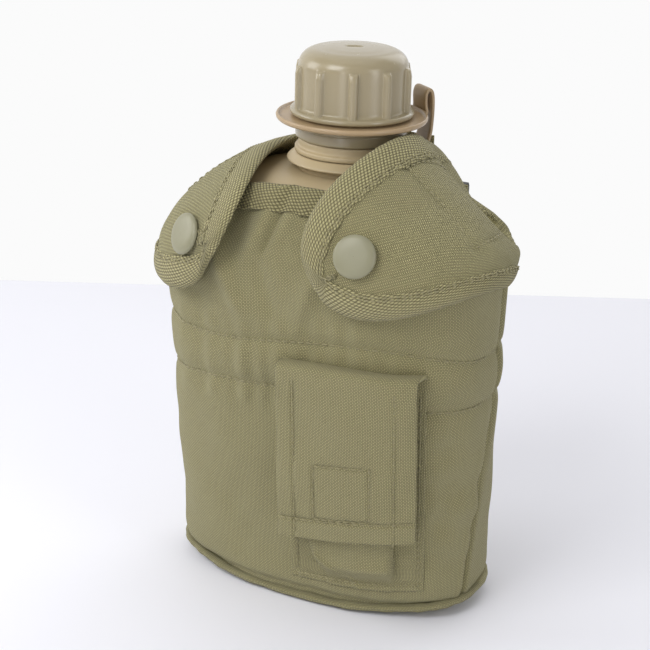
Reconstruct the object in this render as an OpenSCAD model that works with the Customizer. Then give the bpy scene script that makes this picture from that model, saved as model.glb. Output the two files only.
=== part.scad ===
/* [Bottle] */
// Height of the closed cap's crown above the base
total_h = 217.5; // [216:0.5:220]
// Half width of the cover at the base
half_w_base = 63; // [61:0.5:65]
// Half width of the cover at shoulder height
half_w_top = 68; // [66:0.5:70]
// Half depth of the cover at the base
half_d_base = 35.7; // [34:0.1:37]
// Half depth of the cover at shoulder height
half_d_top = 38.1; // [37:0.1:39]
// Squareness of the kidney outline: 2 is an ellipse
outline_power = 2.75; // [2.5:0.05:3]
// Outer radius of the neck
neck_r = 20.2; // [20:0.1:20.3]
// Radius of the open mouth
mouth_r = 15; // [14:0.5:15.5]

/* [Cap] */
// Radius of the smooth body of the cap
cap_r = 20.9; // [20.7:0.1:21]
// Radius over the grip ribs
cap_rib_r = 22.8; // [22.4:0.1:23]
// Number of grip ribs
cap_ribs = 10; // [8:1:12]
// Radius of the cap's bottom flange
cap_flange_r = 23.75; // [23.4:0.05:24]
// Rise of the screw thread for one turn
thread_pitch = 4; // [3.8:0.1:4.2]
// Radius of the strap ring under the cap
dish_r = 29; // [28.5:0.1:29.5]

/* [Cover] */
// Thickness of the cover's fabric wall
wall_t = 1.4; // [1.2:0.1:1.6]
// Thickness of the pile lining
pile_t = 2.2; // [2:0.1:2.4]
// Thickness of a flap
flap_t = 2.2; // [2:0.1:2.4]
// Width of the binding tape, as a share of a flap
binding_share = 0.14; // [0.12:0.01:0.18]
// Diameter of the snap caps
snap_d = 16; // [15:0.5:16]
// Pocket width
pocket_w = 53; // [50:1:54]
// Pocket height
pocket_h = 88; // [84:1:90]

/* [Belt keepers] */
// Distance of each keeper from the middle
keeper_x = 24.5; // [23:0.5:26]
// Width of the webbing under each keeper
web_w = 25; // [24:0.5:26]
// Width of the steel strip
keeper_w = 18; // [16:0.5:19]

/* [Hidden] */
$fn = 64;
eps = 0.01;
clear_gap = 0.3;
base_round = 10;
top_half_w = 64.5;
z_wall_top = 138;
z_ref = 150;
back_lean = 9.3;
y_base = -3;
columns = 30;

plastic_col = [0.50, 0.44, 0.33];
strap_col = [0.60, 0.46, 0.32];
fabric_col = [0.53, 0.51, 0.38];
binding_col = [0.56, 0.53, 0.40];
metal_col = [0.62, 0.61, 0.53];
steel_col = [0.16, 0.16, 0.15];
rubber_col = [0.10, 0.10, 0.10];

// ---- outline of the filled cover: a kidney section that widens and leans forward as it rises ----

function mix(a, b, t) = a + (b - a) * t;
function half_w(z) = mix(half_w_base, half_w_top, min(z, z_ref) / z_ref);
function half_d(z) = mix(half_d_base, half_d_top, min(z, z_ref) / z_ref);
function centre_y(z) = y_base - back_lean * z / z_ref;
function soft_pow(v) = sign(v) * pow(abs(v), 2 / outline_power);
// How far the outline is drawn in near the base, where the edge is rounded
function base_inset(z) =
    z >= base_round ? 0 : base_round - sqrt(pow(base_round, 2) - pow(base_round - z, 2));
function section(z, t, off) = [
    (half_w(z) - base_inset(z) + off) * soft_pow(cos(t)),
    (half_d(z) - base_inset(z) + off) * soft_pow(sin(t)) + centre_y(z),
    z];
// A point on the front of the cover at a width x and a height z, standing off by off
function front_point(x, z, off) = [
    x,
    centre_y(z) - (half_d(z) - base_inset(z) + off)
        * pow(1 - pow(min(0.999, abs(x) / (half_w(z) + off)), outline_power), 1 / outline_power),
    z];

// ---- solids made from grids of points ----

function flat_list(rows) = [for (row = rows) for (p = row) p];
function grid_faces(rows, cols, first, flip, wrap = false) = [
    for (r = [0 : rows - 2]) for (c = [0 : cols - (wrap ? 1 : 2)])
        let (a = first + r * cols + c, b = first + r * cols + (c + 1) % cols, d = a + cols, e = b + cols)
        for (f = flip ? [[a, b, e], [a, e, d]] : [[a, e, b], [a, d, e]]) f];
function strip_faces(a, b, flip, closed = false) = [
    for (i = [0 : len(a) - (closed ? 1 : 2)])
        let (j = (i + 1) % len(a))
        for (f = flip ? [[a[i], a[j], b[j]], [a[i], b[j], b[i]]]
                      : [[a[i], b[j], a[j]], [a[i], b[i], b[j]]]) f];

// A plate between an outer and an inner grid of points with the same rows and columns
module plate(outer, inner) {
    rows = len(outer);
    cols = len(outer[0]);
    half = rows * cols;
    top = [for (c = [0 : cols - 1]) (rows - 1) * cols + c];
    low = [for (c = [0 : cols - 1]) c];
    left = [for (r = [0 : rows - 1]) r * cols];
    right = [for (r = [0 : rows - 1]) r * cols + cols - 1];
    polyhedron(
        points = concat(flat_list(outer), flat_list(inner)),
        faces = concat(
            grid_faces(rows, cols, 0, false), grid_faces(rows, cols, half, true),
            strip_faces(low, [for (i = low) i + half], true),
            strip_faces(top, [for (i = top) i + half], false),
            strip_faces(left, [for (i = left) i + half], false),
            strip_faces(right, [for (i = right) i + half], true)));
}

// A sleeve between two closed stacks of rings
module sleeve(outer, inner) {
    rows = len(outer);
    cols = len(outer[0]);
    half = rows * cols;
    top = [for (c = [0 : cols - 1]) (rows - 1) * cols + c];
    low = [for (c = [0 : cols - 1]) c];
    polyhedron(
        points = concat(flat_list(outer), flat_list(inner)),
        faces = concat(
            grid_faces(rows, cols, 0, false, true), grid_faces(rows, cols, half, true, true),
            strip_faces(low, [for (i = low) i + half], true, true),
            strip_faces(top, [for (i = top) i + half], false, true)));
}

// A solid skinned over a stack of closed rings, flat at both ends
module stack(rings) {
    rows = len(rings);
    cols = len(rings[0]);
    polyhedron(
        points = flat_list(rings),
        faces = concat(
            grid_faces(rows, cols, 0, false, true),
            [[for (c = [0 : cols - 1]) c]],
            [[for (c = [cols - 1 : -1 : 0]) (rows - 1) * cols + c]]));
}

// A closed tube along a loop of points, with sides set across the loop
module loop_tube(rings) {
    rows = len(rings);
    cols = len(rings[0]);
    looped = concat(rings, [rings[0]]);
    n = rows * cols;
    polyhedron(
        points = flat_list(rings),
        faces = [for (f = grid_faces(rows + 1, cols, 0, false, true)) [for (i = f) i % n]]);
}

// ---- bottle ----

bottle_gap = wall_t + pile_t + 2 * clear_gap;
bottle_z = 5;
bottle_wall = 2;
shoulder_z = 132;
neck_z = 171;
neck_rim_z = 210;
neck_step_z = 182.8;
bead_z = [177.6, 179.4];
bead_r = 21.6;
finish_r = 17.2;
thread_r = 18.6;
bottle_cols = 36;

// Width, depth and middle of the bottle, from the shoulder's start to the round neck
function shoulder(s, t, off) =
    let (w = pow(cos(90 * s), 0.75), z = mix(shoulder_z, neck_z, sin(90 * s)))
    let (body = section(shoulder_z, t, off - bottle_gap), neck = [(neck_r - 1) * cos(t), (neck_r - 1) * sin(t)])
    [mix(neck.x, body.x, w), mix(neck.y, body.y, w), z - (off < 0 ? 2 * s : 0)];
function bottle_rings(off) = concat(
    [for (b = [0 : 25 : 75])
        [for (i = [0 : bottle_cols - 1])
            section(bottle_z - off + 9 * (1 - cos(b)), 360 * i / bottle_cols,
                off - bottle_gap - 9 * (1 - sin(b)) + base_inset(bottle_z - off + 9 * (1 - cos(b))) * 0.35)]],
    [for (z = [24, 60, 100])
        [for (i = [0 : bottle_cols - 1]) section(z, 360 * i / bottle_cols, off - bottle_gap)]],
    [for (s = [0 : 0.2 : 1])
        [for (i = [0 : bottle_cols - 1]) shoulder(s, 360 * i / bottle_cols, off)]]);

// A helical ridge from a root radius to a tip radius, tapering away at both ends
module helix_ridge(r_root, r_tip, z_start, turns, half_root, half_tip) {
    steps = 30;
    last = turns * steps;
    out = r_tip > r_root ? -1 : 1;
    stack([for (k = [0 : last])
        let (a = 360 * k / steps, z = z_start + thread_pitch * k / steps)
        let (tip = mix(r_root, r_tip, min(1, min(k, last - k) / 4 + 0.05)))
        [for (q = [[r_root, -half_root * out], [tip, -half_tip * out], [tip, half_tip * out],
                   [r_root, half_root * out]])
            [q.x * cos(a), q.x * sin(a), z + q.y]]]);
}

module bottle() {
    color(plastic_col)
    difference() {
        union() {
            stack(bottle_rings(0));
            rotate_extrude()
                polygon([[0, neck_z - 3], [neck_r, neck_z - 3], [neck_r, bead_z[0]],
                    [bead_r - 0.4, bead_z[0]], [bead_r, bead_z[0] + 0.5], [bead_r, bead_z[1] - 0.5],
                    [bead_r - 0.4, bead_z[1]], [neck_r + 0.4, bead_z[1]], [neck_r + 0.4, neck_step_z - 0.6],
                    [neck_r - 0.2, neck_step_z], [finish_r, neck_step_z], [finish_r, neck_rim_z - 0.6],
                    [finish_r - 0.6, neck_rim_z], [0, neck_rim_z]]);
            helix_ridge(finish_r - 0.4, thread_r, 192, 1.5, 0.85, 0.4);
        }
        stack(bottle_rings(-bottle_wall));
        translate([0, 0, neck_z - 12])
            cylinder(r = mouth_r, h = neck_rim_z - neck_z + 13);
    }
}

// ---- cap ----

cap_skirt_z = 183.1;
cap_groove_z = [189.4, 192];
cap_flange_z = 194.1;
cap_bore_r = 19;
cap_roof_z = 212.25;
gasket_t = 2;
rib_z = [193.5, 212];

module cap() {
    color(plastic_col)
    difference() {
        union() {
            rotate_extrude()
                polygon(concat(
                    [[0, cap_skirt_z], [21.2, cap_skirt_z], [21.5, cap_skirt_z + 0.4],
                        [21.5, cap_groove_z[0] - 0.3], [21.2, cap_groove_z[0]], [20.3, cap_groove_z[0]],
                        [20.3, cap_groove_z[1]], [cap_flange_r - 0.8, cap_groove_z[1]],
                        [cap_flange_r, cap_groove_z[1] + 0.8], [cap_flange_r - 0.3, cap_flange_z - 0.4],
                        [cap_flange_r - 1, cap_flange_z], [cap_r + 0.3, cap_flange_z + 0.2],
                        [cap_r, cap_flange_z + 1]],
                    [for (b = [0 : 15 : 75])
                        [cap_r - 0.6 - 5.4 * (1 - cos(b)), 210.8 + 5.4 * sin(b)]],
                    [[12, total_h - 0.6], [6, total_h - 0.2], [0, total_h]]));
            for (k = [0 : cap_ribs - 1])
                rotate([0, 0, 360 * k / cap_ribs - 64.6])
                    cap_rib();
        }
        translate([0, 0, cap_skirt_z - 1])
            cylinder(r = cap_bore_r, h = cap_roof_z - cap_skirt_z + 1);
        translate([0, 0, total_h - 0.9])
            rotate([0, 0, 25])
                cube([4, 1.6, 2], center = true);
    }
    color(plastic_col)
        helix_ridge(cap_bore_r + 0.4, cap_bore_r - 1.3, 190, 1.5, 0.85, 0.4);
}

// One grip rib: a flat bar with a rounded outer face and a rounded top
module cap_rib() {
    translate([cap_rib_r - 1.7, 0, rib_z[0]])
        cylinder(r = 1.7, h = rib_z[1] - rib_z[0], $fn = 24);
    translate([cap_rib_r - 1.7, 0, rib_z[1]])
        sphere(r = 1.7, $fn = 24);
}

module cap_gasket() {
    color(rubber_col)
    translate([0, 0, cap_roof_z - gasket_t])
        difference() {
            cylinder(r = cap_bore_r - 0.3, h = gasket_t);
            translate([0, 0, -1])
                cylinder(r = 13, h = gasket_t + 2);
        }
}

// ---- cap strap: ring under the cap, flexible band, ring round the neck ----

dish_z = 189.7;
dish_rim_z = 192;
neck_ring_z = 173.9;
band_azimuth = 52;
band_w = 10;
band_t = 1.5;
neck_ring_r = 24.5;
// Radius and height along the band's middle line, from the cap ring over to the neck ring
band_route = [[29.85, 190.6], [29.6, 194], [29.5, 197], [30.1, 199], [31.2, 199.4], [32.3, 198],
    [32.8, 194], [32.7, 187], [32, 181], [29.8, 176.8], [25.1, 174.6]];

module strap_cap_ring() {
    color(strap_col)
    rotate_extrude()
        polygon([[20.7, dish_z], [dish_r - 1.2, dish_z], [dish_r - 0.2, dish_z + 0.6], [dish_r, dish_z + 1.2],
            [dish_r, dish_rim_z - 0.3], [dish_r - 0.4, dish_rim_z], [dish_r - 1, dish_rim_z],
            [dish_r - 1.4, dish_z + 1.2], [20.7, dish_z + 1.2]]);
}

function route_normal(k) =
    let (a = band_route[max(0, k - 1)], b = band_route[min(len(band_route) - 1, k + 1)], d = b - a)
    [-d.y, d.x] / norm(d);
module strap_band() {
    color(strap_col)
    rotate([0, 0, band_azimuth])
        stack([for (k = [0 : len(band_route) - 1])
            let (p = band_route[k], m = route_normal(k) * band_t / 2)
            [for (q = [[-1, -1], [-1, 1], [1, 1], [1, -1]])
                [p.x + m.x * q[1], q[0] * band_w / 2, p.y + m.y * q[1]]]]);
}

module strap_neck_ring() {
    color(plastic_col)
    rotate_extrude()
        polygon([[neck_r + 0.3, neck_ring_z], [neck_ring_r, neck_ring_z], [neck_ring_r, neck_ring_z + 1.1],
            [bead_r - 0.1, neck_ring_z + 3.1], [neck_r + 0.3, neck_ring_z + 3.3]]);
}

// ---- cover ----

// Top edge of the front panel: low at the sides and up to the mouth in the middle
function front_top(t, off) =
    let (s = abs(sin(t)))
    [(top_half_w + off) * soft_pow(cos(t)), -9 - (30 + off) * pow(s, 0.8), 147 + 25 * pow(s, 3)];
// Top edge of the back panel: along the flaps' hinge lines and up behind the neck
function back_top(t, off) =
    let (s = abs(sin(t)))
    [(top_half_w + off) * soft_pow(cos(t)), 5.5 + (23.5 + off) * pow(s, 5), 147 + 27 * pow(s, 1.1)];
function panel_rows(t, off, front) = concat(
    [for (z = [0.8, 2.5, 5, base_round, 40, 75, 110, z_wall_top]) section(z, t, off)],
    [for (w = [0.35, 0.7, 1])
        let (low = section(z_wall_top, t, off), top = front ? front_top(t, off) : back_top(t, off))
        [mix(low.x, top.x, pow(w, 2)), mix(low.y, top.y, pow(w, 2)), mix(low.z, top.z, w)]]);
function transpose(m) = [for (r = [0 : len(m[0]) - 1]) [for (c = [0 : len(m) - 1]) m[c][r]]];
function panel_grid(t0, t1, off, front) =
    transpose([for (i = [0 : columns]) panel_rows(mix(t0, t1, i / columns), off, front)]);

side_t = -6;
module cover_front() {
    color(fabric_col)
        plate(panel_grid(-180 - side_t, side_t, 0, true), panel_grid(-180 - side_t, side_t, -wall_t, true));
}

module cover_back() {
    color(fabric_col)
        plate(panel_grid(side_t + 0.3, 180 - side_t - 0.3, 0, false),
            panel_grid(side_t + 0.3, 180 - side_t - 0.3, -wall_t, false));
}

module cover_bottom() {
    color(fabric_col)
    linear_extrude(height = 1.4)
        polygon([for (i = [0 : 71]) let (p = section(0.8, 5 * i, -wall_t - 0.2)) [p.x, p.y]]);
}

module cover_lining() {
    lining_rows = [base_round, 40, 75, 110, 134];
    color(binding_col)
        sleeve(
            [for (z = lining_rows) [for (i = [0 : 47]) section(z, 7.5 * i, -wall_t - clear_gap / 2)]],
            [for (z = lining_rows) [for (i = [0 : 47]) section(z, 7.5 * i, -wall_t - clear_gap / 2 - pile_t)]]);
}

piping_r = 1.7;
// Height of the piping's middle: lowest at the front and back, a little higher at the sides
function piping_z(t) = piping_r + 0.4 + 2.4 * pow(abs(cos(t)), 3);
module bottom_piping() {
    steps = 48;
    sides = 8;
    color(fabric_col)
        loop_tube([for (i = [0 : steps - 1])
            let (t = -360 * i / steps, z = piping_z(t))
            [for (k = [0 : sides - 1])
                let (a = 360 * k / sides, p = section(z, t, piping_r * (1.6 + cos(a))))
                [p.x, p.y, z + piping_r * sin(a)]]]);
}

// Tape folded over the front panel's top edge, seen between the flaps
module mouth_binding() {
    tape_w = 9;
    t0 = -118;
    t1 = -62;
    function tape_row(t, off, w) =
        let (rows = panel_rows(t, off, true), a = rows[9], b = rows[10])
        mix(b, a, w / norm(b - a));
    color(binding_col)
        plate(
            [for (w = [tape_w, 0]) [for (i = [0 : 12]) tape_row(mix(t0, t1, i / 12), 1.1, w)]],
            [for (w = [tape_w, 0]) [for (i = [0 : 12]) tape_row(mix(t0, t1, i / 12), 0.1, w)]]);
}

// ---- flaps: each is one smooth patch through a net of 4 by 4 points ----

function cubic(t) = [
    (1 - 3 * t) * (2 - 3 * t) * (1 - t) / 2, 9 * t * (2 - 3 * t) * (1 - t) / 2,
    9 * t * (3 * t - 1) * (1 - t) / 2, t * (3 * t - 1) * (3 * t - 2) / 2];
function patch(net, u, v) =
    let (a = cubic(u), b = cubic(v))
    [for (i = [0 : 2]) a * [for (r = [0 : 3]) b * [for (c = [0 : 3]) net[r][c][i]]]];
function patch_normal(net, u, v) =
    let (du = patch(net, u + 0.01, v) - patch(net, u - 0.01, v))
    let (dv = patch(net, u, v + 0.01) - patch(net, u, v - 0.01), n = cross(du, dv))
    n / norm(n);
function lifted(net, side, u, v, h) = patch(net, u, v) + side * h * patch_normal(net, u, v);

// Rows run from the hinge line at the back to the free lower edge, columns from the neck to the side
right_net = [
    [[27, 6, 185], [41, 4, 173], [56, 2, 161], [70, 0, 149]],
    [[22, -24, 186], [42, -23, 174], [60, -17, 162], [72, -6, 147.5]],
    [[9, -47, 168], [40, -48, 157], [63, -34, 153], [73, -13, 144.5]],
    [[11, -54, 141], [33, -52, 131], [58, -45, 138], [72, -20, 140.5]]];
left_net = [
    [[-27, 11, 177], [-41, 7, 169], [-54, 3, 161], [-66, -1, 150]],
    [[-27, -17, 176.5], [-44, -16, 170], [-56.5, -13, 160.5], [-67.6, -7, 147.5]],
    [[-22, -47, 168.5], [-43.5, -42, 159.5], [-60.2, -31.8, 150.5], [-69.2, -17, 141.5]],
    [[-33, -54, 139], [-43, -51, 130], [-55.6, -46, 128], [-65.6, -33, 132.6]]];

flap_rows = 12;
flap_cols = 12;
function flap_grid(net, side, h) =
    [for (r = [0 : flap_rows])
        [for (c = [0 : flap_cols])
            lifted(net, side, (1 - r / flap_rows) * (1 - binding_share),
                mix(binding_share, 1, side > 0 ? c / flap_cols : 1 - c / flap_cols), h)]];
module flap_panel(net, side) {
    color(fabric_col)
    difference() {
        plate(flap_grid(net, side, flap_t / 2), flap_grid(net, side, -flap_t / 2));
        snap_frame(net, side)
            cylinder(r = post_r + 0.2, h = 8, center = true);
    }
}

tape_start = 1.003 - binding_share;
// Tape round the inner and lower edges of a flap, as one strip that turns the corner
function edge_pairs() = concat(
    [for (r = [0 : flap_rows]) [[r / flap_rows, 0], [r / flap_rows * tape_start, binding_share - 0.003]]],
    [for (c = [1 : flap_cols])
        [[1, c / flap_cols], [tape_start, mix(binding_share - 0.003, 1, c / flap_cols)]]]);
module flap_tape(net, side) {
    function tape_grid(h) = [for (e = side > 0 ? [0, 1] : [1, 0])
        [for (p = edge_pairs()) lifted(net, side, p[e][0], p[e][1], h)]];
    color(binding_col)
        plate(tape_grid(flap_t / 2 + 0.5), tape_grid(-flap_t / 2));
}

module flap_left() { flap_panel(left_net, -1); }
module flap_right() { flap_panel(right_net, 1); }
module flap_left_binding() { flap_tape(left_net, -1); }
module flap_right_binding() { flap_tape(right_net, 1); }

// ---- snaps: the cap and its socket on the flap, the stud and its eyelet on the front panel ----

// Where each snap sits on its flap's patch
snap_right_uv = [0.74, 0.21];
snap_left_uv = [0.81, 0.33];
post_r = 2.2;
stud_h = 1.4;
// Depth of the front panel's face below the middle of the flap, at each snap
stud_low_right = 6.95;
stud_low_left = 5.15;
// Depth of each eyelet behind the front panel's face, past the wall
eyelet_low = 2.1;
module snap_frame(net, side) {
    uv = side > 0 ? snap_right_uv : snap_left_uv;
    n = side * patch_normal(net, uv[0], uv[1]);
    translate(patch(net, uv[0], uv[1]))
        rotate([0, acos(n.z), atan2(n.y, n.x)])
            children();
}
module snap_cap_shape() {
    snap_z = flap_t / 2 + 0.3;
    color(metal_col)
    rotate_extrude()
        polygon(concat([[0, -flap_t / 2], [post_r, -flap_t / 2], [post_r, snap_z], [snap_d / 2 - 0.5, snap_z],
            [snap_d / 2, snap_z + 0.5]],
            [for (b = [10 : 20 : 90]) [snap_d / 2 * cos(b), snap_z + 0.6 + 2 * sin(b)]]));
}
module snap_socket_shape(low) {
    z = -low + 0.35;
    color(metal_col)
    rotate_extrude()
        polygon([[3.4, z], [4.3, z], [4.5, z + 0.4], [4.1, z + 1.3], [post_r, -flap_t / 2 - 0.5],
            [0, -flap_t / 2 - 0.5], [0, z + 1.2], [2.9, z + 1.15]]);
}
module snap_stud_shape(low) {
    color(metal_col)
    translate([0, 0, -low])
        rotate_extrude()
            polygon([[0, 0], [3, 0], [2.9, 0.25], [2.5, 0.35], [1.9, stud_h], [0, stud_h]]);
}
module snap_eyelet_shape(low) {
    color(metal_col)
    translate([0, 0, -low - wall_t - eyelet_low])
        difference() {
            cylinder(r = 3, h = 0.25);
            translate([0, 0, -1])
                cylinder(r = 1.6, h = 3);
        }
}
module snap_left_cap() { snap_frame(left_net, -1) snap_cap_shape(); }
module snap_left_socket() { snap_frame(left_net, -1) snap_socket_shape(stud_low_left); }
module snap_left_stud() { snap_frame(left_net, -1) snap_stud_shape(stud_low_left); }
module snap_left_eyelet() { snap_frame(left_net, -1) snap_eyelet_shape(stud_low_left); }
module snap_right_cap() { snap_frame(right_net, 1) snap_cap_shape(); }
module snap_right_socket() { snap_frame(right_net, 1) snap_socket_shape(stud_low_right); }
module snap_right_stud() { snap_frame(right_net, 1) snap_stud_shape(stud_low_right); }
module snap_right_eyelet() { snap_frame(right_net, 1) snap_eyelet_shape(stud_low_right); }

// ---- pocket ----

pocket_x = -1;
pocket_z = 13;
pocket_deep = 7;
pocket_wall = 1;
tape_w = 26;
tape_x = 12;
tape_z = [45, 69];
function front_grid(x0, x1, z0, z1, off, n) =
    [for (z = [z0 : (z1 - z0) / 4 : z1 + eps])
        [for (i = [0 : n]) front_point(mix(x0, x1, i / n), z, off)]];
module front_block(x0, x1, z0, z1, off0, off1, n = 10) {
    plate(front_grid(x0, x1, z0, z1, off1, n), front_grid(x0, x1, z0, z1, off0, n));
}
module pocket_body() {
    color(fabric_col)
    difference() {
        front_block(pocket_x, pocket_x + pocket_w, pocket_z, pocket_z + pocket_h, 0.1, pocket_deep);
        front_block(pocket_x + pocket_wall, pocket_x + pocket_w - pocket_wall,
            pocket_z + pocket_wall, pocket_z + pocket_h + 5, -3, pocket_deep - pocket_wall);
    }
}
module pocket_loop_tape() {
    color(binding_col)
        front_block(tape_x, tape_x + tape_w, tape_z[0], tape_z[1], pocket_deep + 0.05, pocket_deep + 0.8, 6);
}
module pocket_hook_tape() {
    color(binding_col)
        front_block(tape_x, tape_x + tape_w, tape_z[0], tape_z[1], pocket_deep + 1.1, pocket_deep + 1.85, 6);
}
module pocket_flap() {
    // Height and stand-off of each row, from the lower edge up to the seam on the cover
    rows = [[37.8, pocket_deep + 1.9], [63, pocket_deep + 1.9], [98, pocket_deep + 1.9],
        [106, pocket_deep + 0.4], [109.8, 1]];
    lid_x = [-2, 52];
    edge_slope = 0.085;
    function lid_z(r, x) = r == 0 ? rows[0][0] + edge_slope * (x - mix(lid_x[0], lid_x[1], 0.5)) : rows[r][0];
    function flap_sheet(t) = [for (r = [0 : len(rows) - 1]) [for (i = [0 : 10])
        let (x = mix(lid_x[0], lid_x[1], i / 10))
        front_point(x, lid_z(r, x) + (rows[r][1] < pocket_deep ? t : 0), rows[r][1] + t)]];
    color(fabric_col)
        plate(flap_sheet(1.2), flap_sheet(0));
}

// ---- belt keepers on the back ----

web_back_y = 31.3;
web_t = 1.6;
web_z = [70, 166];
web_loops = [80, 134]; // low end of each raised loop
web_loop_h = 24;
steel_t = 1.4;
leg_y = web_back_y + 1.2;
belt_gap = 6.4;
outer_y = leg_y + steel_t + belt_gap + 2;
keeper_z = [76, 158];
outer_leg_z = 82;
slide_size = [keeper_w + 5, steel_t + 3, 9];
slide_z = 89;

module web(x) {
    a = web_back_y - web_t;
    b = leg_y + steel_t + clear_gap;
    loops = [for (z = [web_loops[1], web_loops[0]])
        each [[a + web_t, z + web_loop_h + 1], [b + web_t, z + web_loop_h - 5], [b + web_t, z + 6],
            [a + web_t, z]]];
    color(binding_col)
    difference() {
        translate([x - web_w / 2, 0, 0])
            rotate([90, 0, 90])
                linear_extrude(height = web_w)
                    polygon(concat([[a, web_z[0]], [a, web_z[1]], [a + web_t, web_z[1]]], loops,
                        [[a + web_t, web_z[0]]]));
        for (z = web_loops)
            translate([x - keeper_w / 2 - 0.5, a + web_t, z - 1])
                cube([keeper_w + 1, b - a - web_t, web_loop_h + 3]);
    }
}
module keeper(x) {
    color(steel_col)
    translate([x - keeper_w / 2, 0, 0])
        rotate([90, 0, 90])
            linear_extrude(height = keeper_w)
                polygon([[leg_y, keeper_z[0]], [leg_y, keeper_z[1]], [leg_y + 1, keeper_z[1] + steel_t],
                    [outer_y - 1, keeper_z[1] + steel_t], [outer_y, keeper_z[1]], [outer_y, outer_leg_z],
                    [outer_y - steel_t, outer_leg_z], [outer_y - steel_t, keeper_z[1]],
                    [leg_y + steel_t, keeper_z[1]], [leg_y + steel_t, keeper_z[0] + 6],
                    [leg_y + steel_t + 2, keeper_z[0] + 2], [leg_y + steel_t + 1, keeper_z[0]]]);
}
module keeper_slide(x) {
    color(steel_col)
    translate([x, outer_y - steel_t / 2, slide_z])
        difference() {
            cube(slide_size, center = true);
            cube([keeper_w + 0.6, steel_t + 0.6, slide_size.z + 3], center = true);
        }
}
// A folded end of cloth that stands up at the top of the back panel
module back_tab() {
    tab_size = [18, 0.55, 17];
    color(fabric_col)
    translate([2, web_back_y - web_t - tab_size.y - 0.1, 163])
        rotate([90, 0, 90])
            linear_extrude(height = tab_size.x)
                polygon([[0, 0], [tab_size.y, 0], [tab_size.y, tab_size.z - 0.4],
                    [tab_size.y / 2, tab_size.z], [0, tab_size.z - 0.4]]);
}
module keeper_left_webbing() { web(-keeper_x); }
module keeper_right_webbing() { web(keeper_x); }
module keeper_left() { keeper(-keeper_x); }
module keeper_right() { keeper(keeper_x); }
module keeper_left_slide() { keeper_slide(-keeper_x); }
module keeper_right_slide() { keeper_slide(keeper_x); }

bottle();
cap();
cap_gasket();
strap_cap_ring();
strap_band();
strap_neck_ring();
cover_front();
cover_back();
cover_bottom();
cover_lining();
bottom_piping();
mouth_binding();
flap_left();
flap_right();
flap_left_binding();
flap_right_binding();
snap_left_cap();
snap_left_socket();
snap_left_stud();
snap_left_eyelet();
snap_right_cap();
snap_right_socket();
snap_right_stud();
snap_right_eyelet();
pocket_body();
pocket_flap();
pocket_hook_tape();
pocket_loop_tape();
keeper_left_webbing();
keeper_right_webbing();
keeper_left();
keeper_right();
keeper_left_slide();
keeper_right_slide();
back_tab();
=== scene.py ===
import math

import bpy
import numpy as np
from mathutils import Matrix, Vector


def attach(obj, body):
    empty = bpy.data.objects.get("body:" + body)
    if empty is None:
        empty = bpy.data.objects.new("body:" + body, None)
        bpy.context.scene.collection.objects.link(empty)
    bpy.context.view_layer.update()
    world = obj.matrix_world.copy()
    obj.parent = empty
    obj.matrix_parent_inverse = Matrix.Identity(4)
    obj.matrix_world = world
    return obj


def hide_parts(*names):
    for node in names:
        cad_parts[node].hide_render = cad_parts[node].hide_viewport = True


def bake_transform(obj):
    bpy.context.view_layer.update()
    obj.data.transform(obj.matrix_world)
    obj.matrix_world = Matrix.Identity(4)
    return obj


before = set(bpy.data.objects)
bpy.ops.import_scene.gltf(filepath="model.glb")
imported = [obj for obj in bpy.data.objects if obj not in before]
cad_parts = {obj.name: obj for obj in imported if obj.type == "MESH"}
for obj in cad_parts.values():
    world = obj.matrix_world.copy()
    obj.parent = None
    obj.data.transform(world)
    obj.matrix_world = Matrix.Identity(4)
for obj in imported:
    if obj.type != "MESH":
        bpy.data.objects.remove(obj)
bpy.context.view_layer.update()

MM = 0.001
rng = np.random.default_rng(7)


# -------- camera and studio

CAMERA_AZIMUTH = math.radians(25.4)
CAMERA_HEIGHT = 337.9 * MM
CAMERA_DISTANCE = 615.5 * MM
CAMERA_SIDE = -7.95 * MM
CAMERA_AIM = 105.2 * MM
CAMERA_ROLL = math.radians(1.67)
SENSOR = 36.0
FOCAL = 91.224
VIEW_RIGHT = Vector((math.cos(CAMERA_AZIMUTH), math.sin(CAMERA_AZIMUTH), 0))
VIEW_BACK = Vector((-math.sin(CAMERA_AZIMUTH), math.cos(CAMERA_AZIMUTH), 0))
LIGHT_AIM = Vector((0, 0, 0.1))
WORLD_STRENGTH = 0.42
LIGHTS = (  # name; steps right, back and up from LIGHT_AIM; size; power
    ("key", (-0.55, -0.55, 0.7), (0.5, 0.5), 4.7),
    ("fill", (0.7, -0.7, 0.25), (0.25, 0.8), 2.1),
    ("strip", (-0.3, -0.75, 0.1), (0.12, 0.7), 0.8),
    ("top", (0, 0.15, 0.95), (0.8, 0.8), 1.2),
    ("left", (-0.8, 0.1, 0.35), (0.4, 0.5), 2.4),
    ("rim", (0.45, 0.6, 0.5), (0.5, 0.6), 1.0))


def from_view(right, back, up):
    """A place in metres, by steps to the right, away and up as the camera sees them."""
    return VIEW_RIGHT * right + VIEW_BACK * back + Vector((0, 0, up))


def make_camera():
    place = from_view(CAMERA_SIDE, -CAMERA_DISTANCE, CAMERA_HEIGHT)
    aim = from_view(CAMERA_SIDE, 0, CAMERA_AIM)
    forward = (aim - place).normalized()
    level = forward.cross(Vector((0, 0, 1))).normalized()
    upright = level.cross(forward)
    right = level * math.cos(CAMERA_ROLL) + upright * math.sin(CAMERA_ROLL)
    up = upright * math.cos(CAMERA_ROLL) - level * math.sin(CAMERA_ROLL)
    data = bpy.data.cameras.new("camera")
    data.sensor_width = SENSOR
    data.lens = FOCAL
    data.clip_start = 0.01
    camera = bpy.data.objects.new("camera", data)
    camera.matrix_world = Matrix((
        (right.x, up.x, -forward.x, place.x),
        (right.y, up.y, -forward.y, place.y),
        (right.z, up.z, -forward.z, place.z),
        (0, 0, 0, 1)))
    bpy.context.scene.collection.objects.link(camera)
    bpy.context.scene.camera = camera


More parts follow.
